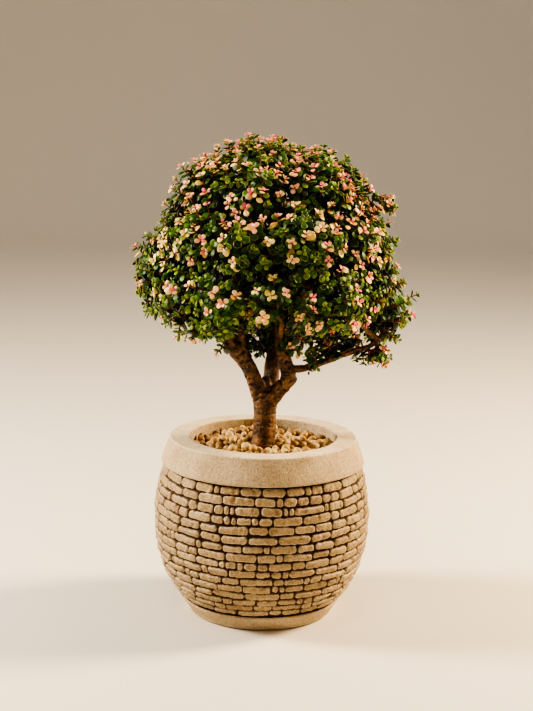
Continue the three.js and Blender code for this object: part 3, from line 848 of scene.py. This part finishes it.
def leaves(outline, place, outward, face, length, width, bend):
    """Leaves set at their stalks: outward is each leaf's direction and face the way its upper side looks.

    The blade curls along a parabola by bend, as a share of its length, and cups a little across.
    """
    shape, quads, tris, margin = leaf_shape(outline)
    outward = unit(outward)
    across = unit(np.cross(face, outward))
    face = np.cross(outward, across)
    x = shape[None, :, 0] * length[:, None]
    y = shape[None, :, 1] * width[:, None]
    thickness = 0.23 * length ** 0.6 * 1.5
    z = shape[None, :, 2] * thickness[:, None] + bend[:, None] * length[:, None] * shape[None, :, 0] ** 2
    z = z + 0.35 * shape[None, :, 1] ** 2 * width[:, None]
    points = (place[:, None] + x[..., None] * outward[:, None] + y[..., None] * across[:, None]
              + z[..., None] * face[:, None])
    n, each = len(place), shape.shape[0]
    values = {"margin": np.tile(margin, n), "along": np.tile(shape[:, 0], n)}
    return points.reshape(-1, 3), repeated(quads, each, n), repeated(tris, each, n), values


# Leaf pairs of a shoot, from its tip back: distance from the tip, leaf length, and lean away from the shoot.
PAIR_BACK = np.array([0.2, 1.0, 2.2, 6.8, 11.5, 17.0, 23.0, 29.0])
PAIR_LENGTH = np.array([2.5, 4.3, 5.6, 7.3, 8.7, 9.8, 10.6, 10.6])
PAIR_LEAN = np.radians([28, 58, 72, 62, 66, 70, 74, 78])
# By pair: how much of a flowering shoot has turned cream, and how pink its leaves are.
CREAM_BY_PAIR = np.array([1, 1, 1, 0.32, 0.12, 0, 0, 0])
BLUSH_BY_PAIR = np.array([1.0, 0.85, 0.55, 0.25, 0, 0, 0, 0])
SHADED_PAIR = 3  # the youngest pair of a shaded shoot
PINK_CLUSTERS = ((-53, 430), (84, 313))  # x and z where the young leaves are pinkest
TWIG_RINGS, TWIG_SIDES = 7, 5
CROWN_MIDDLE = np.array([2.0, 0.0, 345.0])
TIP_SPACING = 12.0
TRIES_PER_TIP = 14
STALK = 0.5  # from a shoot's middle line to where its leaves start
FLAT_TOP = 462  # the crown is pressed flatter above this
LOWEST_TIP = 254  # how far down the leaves on the low branch hang
ALONE = ("low_branch", "right_twig")  # the sprays that stand clear of the crown
# Tips of the sprigs that stand clear of the top of the crown.
STANDING_SPRIGS = [[-19, -14, 479], [5, 4, 477], [32, -6, 467], [62, -8, 464], [-39, -10, 472], [-61, 12, 457],
                   [93, -6, 436], [10, 40, 474], [-30, 34, 470], [48, 30, 466], [-72, -4, 447], [76, 24, 452]]


def spray_faces(name):
    """A spray node's triangles in millimetres, with their outward normals and areas."""
    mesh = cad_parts[name].data
    mesh.calc_loop_triangles()
    corners = np.zeros(len(mesh.loop_triangles) * 3, np.int32)
    mesh.loop_triangles.foreach_get("vertices", corners)
    points = np.zeros(len(mesh.vertices) * 3)
    mesh.vertices.foreach_get("co", points)
    triangle = (points.reshape(-1, 3) / MM)[corners.reshape(-1, 3)]
    cross = np.cross(triangle[:, 1] - triangle[:, 0], triangle[:, 2] - triangle[:, 0])
    return triangle, unit(cross), np.linalg.norm(cross, axis=1) / 2


def thin_out(points, spacing):
    """Which points stay when each one that stays clears the others within spacing of it."""
    left = np.arange(len(points))
    kept = []
    while len(left):
        kept.append(left[0])
        left = left[np.linalg.norm(points[left] - points[left[0]], axis=1) >= spacing]
    return np.array(kept)


def find_tips(names, rng, spacing, inset):
    """Shoot tips over the open side of the sprays: places, how the surface faces there, and whose they are."""
    found = []
    for owner, name in enumerate(names):
        triangle, normal, area = spray_faces(name)
        middle = triangle.mean(axis=1)
        alone = name.endswith(ALONE)
        home = middle.mean(axis=0) if alone else CROWN_MIDDLE
        area = area * ((normal * unit(middle - home)).sum(axis=1) > (0.2 if alone else 0.4))
        count = int(area.sum() / spacing ** 2 * TRIES_PER_TIP)
        pick = rng.choice(len(area), count, p=area / area.sum())
        u, v = rng.random((2, count, 1))
        u, v = np.where(u + v > 1, 1 - u, u), np.where(u + v > 1, 1 - v, v)
        a, b, c = (triangle[pick, k] for k in range(3))
        depth = min(inset, 8) if alone else inset
        found.append((a + u * (b - a) + v * (c - a) - normal[pick] * depth,
                      unit(normal[pick] + unit(middle[pick] - home)), np.full(count, owner)))
    places, looks, owners = joined(found)
    order = rng.permutation(len(places))
    kept = order[thin_out(places[order], spacing)]
    return places[kept], looks[kept], owners[kept]


def shoots(rng, tips, looks, base, first_pair, shade_darkening, flowering):
    """Shoots with their leaf pairs: the settings of every leaf, and the shoots' own curves.

    A shoot is a quadratic curve from base to tip whose last stretch points the way its tip looks. Pairs
    stand on it, each turned a quarter from the one before, and lean out from it. The settings end with each
    leaf's pair and the number of its shoot.
    """
    n = len(tips)
    length = np.linalg.norm(tips - base, axis=1)[:, None]
    bend = tips - looks * np.minimum(length * 0.5, 18)
    pair = np.arange(first_pair, len(PAIR_BACK))
    shape = (n, len(pair))
    back = (PAIR_BACK[pair] - PAIR_BACK[first_pair]) * (1 + 0.12 * rng.normal(size=shape))
    t = (1 - np.clip(back / length, 0, 0.93))[..., None]
    place = arch(base[:, None], bend[:, None], tips[:, None], t)
    axis = unit((1 - t) * (bend - base)[:, None] + t * (tips - bend)[:, None])
    reference = unit(np.cross(looks, rng.normal(size=(n, 3))))[:, None]
    side = unit(np.cross(axis, reference))
    other = np.cross(axis, side)
    size = rng.uniform(0.82, 1.16, n)[:, None]
    young = np.clip(1 - (pair - 2) / 4, 0, 1)
    creamy = flowering[:, None] * CREAM_BY_PAIR[pair]
    settings = []
    for half in (0, 1):
        angle = half * math.pi + pair * math.pi / 2 + 0.16 * rng.normal(size=shape)
        out = np.cos(angle)[..., None] * side + np.sin(angle)[..., None] * other
        lean = (PAIR_LEAN[pair] + 0.14 * rng.normal(size=shape))[..., None]
        outward = np.cos(lean) * axis + np.sin(lean) * out
        outward[..., 2] -= 0.12 * (pair > 3)
        face = np.sin(lean) * axis - np.cos(lean) * out
        face = unit(face + 0.22 * rng.normal(size=face.shape))
        long = PAIR_LENGTH[pair] * size * rng.uniform(0.84, 1.14, shape)
        wide = long * rng.uniform(0.7, 0.86, shape)
        # shoots inside the crown get their tone lowered, as painted shade
        tone = np.clip(0.14 + 0.6 * young + 0.2 * rng.normal(size=shape) - shade_darkening, 0, 1)
        cream = np.where(rng.random(shape) < creamy, rng.uniform(0.65, 1, shape),
                         rng.uniform(0.0, 0.42, shape) * (0.4 + 0.6 * young))
        keep = (back < length * 0.9) & (rng.random(shape) < 0.96)
        curl = rng.uniform(-0.16, 0.05, shape)
        owner = np.broadcast_to(np.arange(n)[:, None], shape)
        settings.append((place + out * STALK, outward, face, long, wide, curl, tone, cream,
                         np.broadcast_to(pair, shape), owner, keep))
    *settings, keep = (np.stack(both) for both in zip(*settings))
    return [each[keep] for each in settings], (base, bend, tips)


def cluster(points, x, z, wide, high):
    """1 at x and z, falling off like a bell over that width and height, at any depth."""
    return np.exp(-((points[:, 0] - x) / wide) ** 2 - ((points[:, 2] - z) / high) ** 2)


def merged_piece(name, shapes, materials):
    """One mesh from shapes: points, quads, tris, values, the number of its material, rings and sides."""
    points, quads, tris, values, numbers, rings, sides = zip(*shapes)
    copies = [len(each) // (ring * side + 2) for each, ring, side in zip(points, rings, sides)]
    places = cell_places([shape for shape in zip(quads, tris, rings, sides, copies) if shape[-1]])
    material_of = np.concatenate([np.full(len(faces), number) for kind in (quads, tris)
                                  for faces, number in zip(kind, numbers)])
    values = {key: np.concatenate([each[key] for each in values]) for key in values[0]}
    starts = np.cumsum([0, *map(len, points)])
    quads, tris = (np.concatenate([faces + start for faces, start in zip(kind, starts)])
                   for kind in (quads, tris))
    return make_piece(name, np.concatenate(points), quads, tris, materials, values, material_of, places)


def grown_spray(name, leaf, twig, rng, parts):
    """Shoots with their leaves and twigs as one mesh. Each part is tips, how they look, bases, first pair.

    Shoots that keep their youngest leaves may turn cream at the tip, as if in flower, and blush pink there;
    both come in drifts, from noise, and more of them low in front. Shoots without them are the growth inside
    the crown, and their leaves are painted darker as shade.
    """
    shapes = []
    for tips, looks, base, first in parts:
        young = first < SHADED_PAIR
        outline = FINE_LEAF if young else SHADED_LEAF
        high = 0.2 * np.clip((tips[:, 2] - 380) / 60, -0.5, 1)
        warm = 0.15 * np.clip(tips[:, 0] / 60, -0.5, 1.2) + high
        for x, z in PINK_CLUSTERS:
            warm = warm + 0.6 * cluster(tips, x, z, 30, 28)
        pink = np.clip(0.62 + warm + 0.9 * noise(tips, 42, 71) + 0.25 * rng.normal(size=len(tips)), 0.02, 1)
        low_front = 0.36 * cluster(tips, 28, 306, 52, 32) * (tips[:, 1] < -12)
        drift = np.clip(0.46 + high + low_front + 0.6 * noise(tips, 34, 72), 0.08, 1) * young
        flowering = (rng.random(len(tips)) < drift).astype(float)
        # the shoots inside the crown: leaf tone lowered by 0.42 as painted shade
        grown, line = shoots(rng, tips, looks, base, first, 0.0 if young else 0.42, flowering)
        tone, cream, pair, owner = grown[6:]
        blush = BLUSH_BY_PAIR[pair] * pink[owner] * rng.uniform(0.3, 1.25, len(pair)) * (cream > 0.6)
        points, quads, tris, values = leaves(outline, *grown[:6])
        for key, value in (("tone", tone), ("cream", cream), ("blush", np.clip(blush, 0, 1))):
            values[key] = np.repeat(value, len(points) // len(tone))
        shapes.append((points, quads, tris, values, 0, len(outline[0]), outline[3]))
        t = np.linspace(0, 1, TWIG_RINGS)[None, :, None]
        curves = arch(*(end[:, None] for end in line), t)
        radii = np.broadcast_to(1.2 - 0.7 * t[..., 0], curves.shape[:2])
        points, quads, tris = tubes(curves, radii, TWIG_SIDES)
        values = {key: np.zeros(len(points)) for key in values}
        shapes.append((points, quads, tris, values, 1, TWIG_RINGS, TWIG_SIDES))
    return merged_piece(name, shapes, [leaf, twig])


def in_window(points):
    """Whether a point is in the gap in front of the right limb, where the crown lets the old wood show."""
    x, y, z = points[:, 0], points[:, 1], points[:, 2]
    side = 24 - 0.2 * np.clip(z - 270, 0, 60) + 5 * noise(points, 12, 75)
    return (np.abs(x - 14) < side) & (y < 4) & (z < 314 - 0.17 * y + 6 * noise(points, 15, 76))


def over_branch(points):
    """Whether a point would hide the outer low branch from someone who looks a little down at it."""
    line = stem_line(LOW_BRANCH)[0]
    line = line[line[:, 0] > 84]
    view = np.array([[1, 0], [0, 0.18], [0, 1]])
    apart = np.linalg.norm((points @ view)[:, None] - (line @ view)[None], axis=-1).min(axis=1)
    return (apart < 7) & (points[:, 1] < -6)


def crown(leaf, twig):
    """All sprays: tips are spread over the whole crown at once, then each spray grows to its own.

    The tips are moved in and out by noise, so that the crown has humps and hollows, and some sprigs stand
    out of it. The top is pressed a little flatter. Returns the sprays' middles.
    """
    names = sorted(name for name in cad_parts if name.startswith("leaf_spray"))
    rng = np.random.default_rng(SEED + 2)
    centres = []
    for triangle, _, area in map(spray_faces, names):
        centres.append((triangle.mean(axis=1) * area[:, None]).sum(axis=0) / area.sum())
    centres = np.array(centres)
    tips, looks, owners = find_tips(names, rng, TIP_SPACING, 0.5)
    away = 8.5 * noise(tips, 26, 73) - 1.5 + 1.8 * rng.normal(size=len(tips))
    away = away + np.where(rng.random(len(tips)) < 0.12, rng.uniform(3, 8, len(tips)), 0)
    away = away - 12 * np.clip((-tips[:, 0] - 50) / 40, 0, 1) * np.exp(-((tips[:, 2] - 404) / 24) ** 2)
    alone = [k for k, name in enumerate(names) if name.endswith(ALONE)]
    away = np.where(np.isin(owners, alone), np.minimum(away, -4), away)
    tips = tips + looks * away[:, None]
    tips[:, 2] -= 0.3 * np.clip(tips[:, 2] - FLAT_TOP, 0, None)
    looks = unit(looks + [0, 0, 0.35] + 0.28 * rng.normal(size=looks.shape))
    standing = np.array(STANDING_SPRIGS, float)
    upright = unit(0.15 * (standing - CROWN_MIDDLE) / 100 + [0, 0, 1.0])
    nearest = np.linalg.norm(standing[:, None] - centres[None], axis=-1).argmin(axis=1)
    outer = joined([(tips, looks, owners), (standing, upright, nearest)])
    inner = joined([find_tips(names, rng, spacing, inset) for spacing, inset in ((16, 17), (21, 33))])
    inner[1] = unit(inner[1] + 0.4 * rng.normal(size=inner[1].shape))
    for layer in (outer, inner):
        tips, _, owners = layer
        hanging = (owners == names.index("leaf_spray_low_branch")) & (tips[:, 2] < LOWEST_TIP)
        layer[2] = np.where(in_window(tips) | over_branch(tips) | hanging, -1, owners)
    for owner, name in enumerate(names):
        own = np.random.default_rng([SEED, owner])
        parts = []
        for (tips, looks, owners), first in ((outer, 0), (inner, 1 if name.endswith(ALONE) else SHADED_PAIR)):
            mine = owners == owner
            count = int(mine.sum())
            inward = (CROWN_MIDDLE - centres[owner]) * own.uniform(0, 0.1, (count, 1))
            base = centres[owner] + inward + 2.5 * own.normal(size=(count, 3))
            parts.append((tips[mine], looks[mine], base, first))
        settle(grown_spray(name.replace("leaf_spray", "foliage"), leaf, twig, own, parts), [name])
    return centres


# Tips of the sprigs that grow straight from the old wood: yellowish ones on the low branch and at the
# left, and shaded ones that hang between the limbs.
BRANCH_SPRIGS = [[44, -13, 249], [52, -15, 252], [72, -16, 263], [76, -11, 271], [90, -16, 262],
                 [97, -15, 258], [104, -9, 262], [62, -12, 268], [-48, -17, 265], [-43, -14, 272],
                 [84, -12, 276], [46, -22, 277], [60, -24, 280], [34, -20, 282], [76, -22, 285],
                 [-62, -24, 279], [-88, -20, 282], [88, -17, 288], [97, -15, 292], [92, -12, 282],
                 [82, -20, 293], [101, -18, 285], [34, -14, 268], [41, -17, 264], [36, -8, 274],
                 [48, -14, 270], [54, -18, 275], [62, -16, 283], [70, -18, 278], [42, -4, 284], [54, -4, 286],
                 [66, -6, 290], [78, -8, 292], [-11, -24, 289], [-17, -22, 293], [-6, -20, 296],
                 [27, -24, 276], [35, -26, 271], [44, -25, 270], [31, -22, 284], [22, -24, 292]]
SHADED_SPRIGS = [[-14, 6, 268], [-6, 10, 262], [-10, 14, 277], [0, 12, 269], [-20, 8, 279], [-4, 18, 284],
                 [-16, 16, 288], [6, 24, 276], [-26, 6, 288], [12, 14, 290], [34, 6, 284], [40, -2, 292],
                 [-8, 4, 272], [-16, 2, 276], [-2, 6, 280], [-24, 2, 284], [-12, 0, 286], [2, 2, 290],
                 [-12, 12, 262], [-2, 18, 266], [-18, 10, 270], [4, 22, 264], [-8, 20, 272], [-22, 12, 276],
                 [44, 10, 280], [54, 8, 284], [64, 6, 290], [38, 6, 288], [50, 2, 292]]


def limb_sprigs(leaf, twig):
    """Short shoots from the limbs and the low branch, each from the old wood nearest to just above its tip."""
    rng = np.random.default_rng(SEED + 3)
    wood = np.concatenate([stem_line(stem)[0][8:] for stem in BEARERS])
    parts = []
    for tips, first in ((BRANCH_SPRIGS, 1), (SHADED_SPRIGS, SHADED_PAIR)):
        tips = np.array(tips, float)
        base = wood[np.linalg.norm((tips + [0, 0, 6])[:, None] - wood[None], axis=-1).argmin(axis=1)]
        parts.append((tips, unit(tips - base + 5 * rng.normal(size=tips.shape)), base, first))
    return grown_spray("limb_sprigs", leaf, twig, rng, parts)


# ---------------------------------------------------------------- building
stone = cast_stone()
for piece in (pot_body(stone), *stonework(stone)):
    settle(piece, ["pot"])
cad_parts["potting_soil"].material_slots[0].material = potting_mix()
settle(pebbles(river_pebble()), ["pebble_top_dressing"])
bark = jade_bark()
leaf, twig = jade_leaf(), young_stem()
spray_centres = crown(leaf, twig)
settle(branchlets(bark, spray_centres), ["right_limb", "back_limb", "left_limb"])
settle(limb_sprigs(leaf, twig), ["low_branch"])
settle(trunk_and_limbs(bark), ["trunk", "right_limb", "back_limb", "left_limb", "low_branch"])


# ---------------------------------------------------------------- the studio
FLOOR_SIDES = 96
# Name, place in metres, size, power and colour of each lamp. All aim at the height LAMP_AIM on the Z axis.
LAMPS = (("left", (-1.5, 0.05, 1.0), 0.5, 48, "#FFF1DC"), ("right", (1.45, 0.35, 1.1), 0.5, 66, "#FFE2B8"),
         ("front", (-0.2, -0.85, 1.75), 0.6, 4.8, "#FFE2BC"))
LAMP_AIM = 0.25


def studio():
    """A pale floor that curves up all round, a dim sky and three soft lamps."""
    material, tree, _ = new_material("floor_pale_matte", ())
    finish(tree, {"Base Color": "#DDD8CF", "Roughness": 0.8})
    bend = np.radians(np.linspace(-90, 0, 25))
    away = np.concatenate([[400, 1400, 2600], 3000 + 1500 * np.cos(bend), [4500]])
    height = np.concatenate([[0, 0, 0], 1500 + 1500 * np.sin(bend), [5500]])
    rings = turned(np.column_stack([away, height]), circle(FLOOR_SIDES)[1])
    rings = np.concatenate([rings.reshape(-1, 3), [[0, 0, 0]]])
    ring = np.arange(FLOOR_SIDES)
    middle = np.column_stack([ring, (ring + 1) % FLOOR_SIDES, np.full(FLOOR_SIDES, len(rings) - 1)])
    make_piece("studio_floor", rings, grid_quads(len(away), FLOOR_SIDES)[:, ::-1], middle, [material])
    world = bpy.data.worlds.new("studio")
    bpy.context.scene.world = world
    world.use_nodes = True
    feed(world.node_tree, world.node_tree.nodes["Background"], {"Color": "#F4F0EA", "Strength": 0.38})
    for name, place, size, power, colour in LAMPS:
        lamp = bpy.data.lights.new(name, "AREA")
        lamp.shape = "DISK"
        lamp.size = size
        lamp.energy = power
        lamp.color = linear(colour)[:3]
        holder = bpy.data.objects.new(name, lamp)
        bpy.context.scene.collection.objects.link(holder)
        aim = (Vector((0, 0, LAMP_AIM)) - Vector(place)).to_track_quat("-Z", "Y").to_matrix().to_4x4()
        holder.matrix_world = Matrix.Translation(place) @ aim


CAMERA_PLACE = (0.0019, -1.558, 0.564)
CAMERA_PITCH = -11.0
CAMERA_ROLL = 1.0
CAMERA_LENS = 81.0


def camera():
    """The camera: a long lens from the front, a little above the pot, tipped down and slightly turned."""
    data = bpy.data.cameras.new("camera")
    data.lens = CAMERA_LENS
    data.sensor_width = 36
    data.sensor_fit = "AUTO"
    holder = bpy.data.objects.new("camera", data)
    bpy.context.scene.collection.objects.link(holder)
    pitch = Matrix.Rotation(math.radians(90 + CAMERA_PITCH), 4, "X")
    roll = Matrix.Rotation(math.radians(CAMERA_ROLL), 4, "Z")
    holder.matrix_world = Matrix.Translation(CAMERA_PLACE) @ pitch @ roll
    bpy.context.scene.camera = holder


studio()
camera()
bpy.context.scene.view_settings.look = "AgX - High Contrast"
